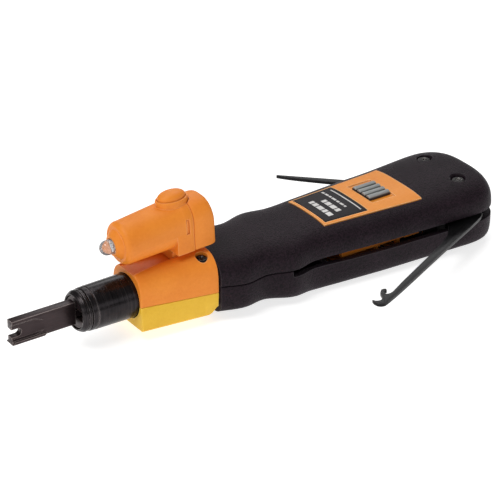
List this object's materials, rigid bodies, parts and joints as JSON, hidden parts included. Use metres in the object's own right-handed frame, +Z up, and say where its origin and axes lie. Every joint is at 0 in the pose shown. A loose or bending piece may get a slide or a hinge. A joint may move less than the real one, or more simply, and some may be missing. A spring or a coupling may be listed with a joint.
{
  "type": "punch down tool",
  "caption": "Impact punch down tool with a slotted cutting blade, an impact selector, a clip-on light, a fold-out hook and a fold-out spudger.",
  "frame": {"origin": "middle of the flat underside of the handle, which the tool lies on", "axes": "+X runs from the blade towards the rear of the handle, +Y towards the spudger's side, +Z up"},
  "size_m": [0.2012, 0.1041, 0.05],
  "materials": {
    "grip_plastic": "fine leather-grain moulding",
    "orange_plastic": "satin moulding",
    "yellow_plastic": "satin moulding",
    "selector_grey": "ridged moulding",
    "label_black": "satin printed film",
    "black_oxide": "turned, black oxide",
    "blade_steel": "ground and darkened",
    "tool_steel": "stamped, grey",
    "bright_steel": "plated",
    "spring_steel": "drawn wire",
    "brass": "turned",
    "inner_black": "plain moulding",
    "led_clear": "clear epoxy",
    "board_green": "circuit board"
  },
  "bodies": {
    "handle": {"handle_top_shell": "grip_plastic", "handle_bottom_shell": "grip_plastic", "faceplate": "orange_plastic", "label_panel": "label_black", "collar_upper": "orange_plastic", "collar_lower": "yellow_plastic", "collar_screw_near": "black_oxide", "collar_screw_far": "black_oxide", "guide_tube": "bright_steel", "rear_stop": "inner_black", "mechanism_cradle": "orange_plastic", "cradle_pin_front": "bright_steel", "cradle_pin_rear": "bright_steel", "pivot_screw_near": "bright_steel", "pivot_screw_far": "bright_steel", "pivot_bush_near": "brass", "pivot_bush_far": "brass", "pivot_washer_near": "spring_steel", "pivot_washer_far": "spring_steel"},
    "plunger": {"barrel": "black_oxide", "retaining_ring": "bright_steel", "bayonet_plate": "bright_steel", "detent_ball": "bright_steel", "detent_spring": "spring_steel", "plunger_rod": "bright_steel", "return_spring": "spring_steel"},
    "blade_body": {"blade": "blade_steel"},
    "hammer_body": {"hammer": "tool_steel", "hammer_spring": "spring_steel"},
    "latch_body": {"impact_latch": "bright_steel"},
    "preload_body": {"spring_seat": "brass"},
    "selector": {"selector_slide": "selector_grey", "selector_wedge": "bright_steel"},
    "hook": {"hook_tool": "tool_steel"},
    "spudger_body": {"spudger": "tool_steel"},
    "light": {"light_body": "orange_plastic", "led": "led_clear", "light_board": "board_green", "light_switch": "inner_black", "button_cell_front": "bright_steel", "button_cell_middle": "bright_steel", "button_cell_rear": "bright_steel"},
    "button": {"light_button": "orange_plastic"},
    "cap": {"light_cap": "orange_plastic", "contact_spring": "spring_steel"}
  },
  "joints": [
    {"name": "barrel_plunge", "type": "slide", "parent": "handle", "child": "plunger", "axis": [1, 0, 0], "range_m": [0, 0.012], "stiffness_N_per_m": 2500, "springref_m": -0.003, "deforming": ["return_spring"]},
    {"name": "blade_twist", "type": "hinge", "parent": "plunger", "child": "blade_body", "pos_m": [-0.136, 0, 0.0145], "axis": [1, 0, 0], "range_deg": [0, 90]},
    {"name": "hammer_travel", "type": "slide", "parent": "handle", "child": "hammer_body", "axis": [1, 0, 0], "range_m": [0, 0.012], "deforming": ["hammer_spring"]},
    {"name": "latch_shift", "type": "slide", "parent": "hammer_body", "child": "latch_body", "axis": [0, 0, 1], "range_m": [0, 0.0012]},
    {"name": "selector_shift", "type": "slide", "parent": "handle", "child": "selector", "axis": [0, 1, 0], "range_m": [-0.002, 0.002]},
    {"name": "preload_shift", "type": "slide", "parent": "handle", "child": "preload_body", "axis": [1, 0, 0], "range_m": [-0.0012, 0.0012]},
    {"name": "hook_fold", "type": "hinge", "parent": "handle", "child": "hook", "pos_m": [0.028, -0.0104, 0.013], "axis": [0, 0, 1], "range_deg": [-28.5, 130]},
    {"name": "spudger_fold", "type": "hinge", "parent": "handle", "child": "spudger_body", "pos_m": [0.028, 0.0104, 0.013], "axis": [0, 0, 1], "range_deg": [-125, 35]},
    {"name": "light_slide_off", "type": "slide", "parent": "handle", "child": "light", "axis": [-1, 0, 0], "range_m": [0, 0.03]},
    {"name": "light_button_press", "type": "slide", "parent": "light", "child": "button", "axis": [0.0401, 0, -0.9992], "range_m": [0, 0.0008], "stiffness_N_per_m": 700, "springref_m": -0.0005},
    {"name": "light_cap_slide", "type": "slide", "parent": "light", "child": "cap", "axis": [0.9992, 0, 0.0401], "range_m": [0, 0.01]}
  ],
  "couplings": [
    {"joint": "hammer_travel", "follows": "barrel_plunge", "ratio": 1},
    {"joint": "latch_shift", "follows": "barrel_plunge", "ratio": 0.1},
    {"joint": "preload_shift", "follows": "selector_shift", "ratio": -0.6}
  ]
}
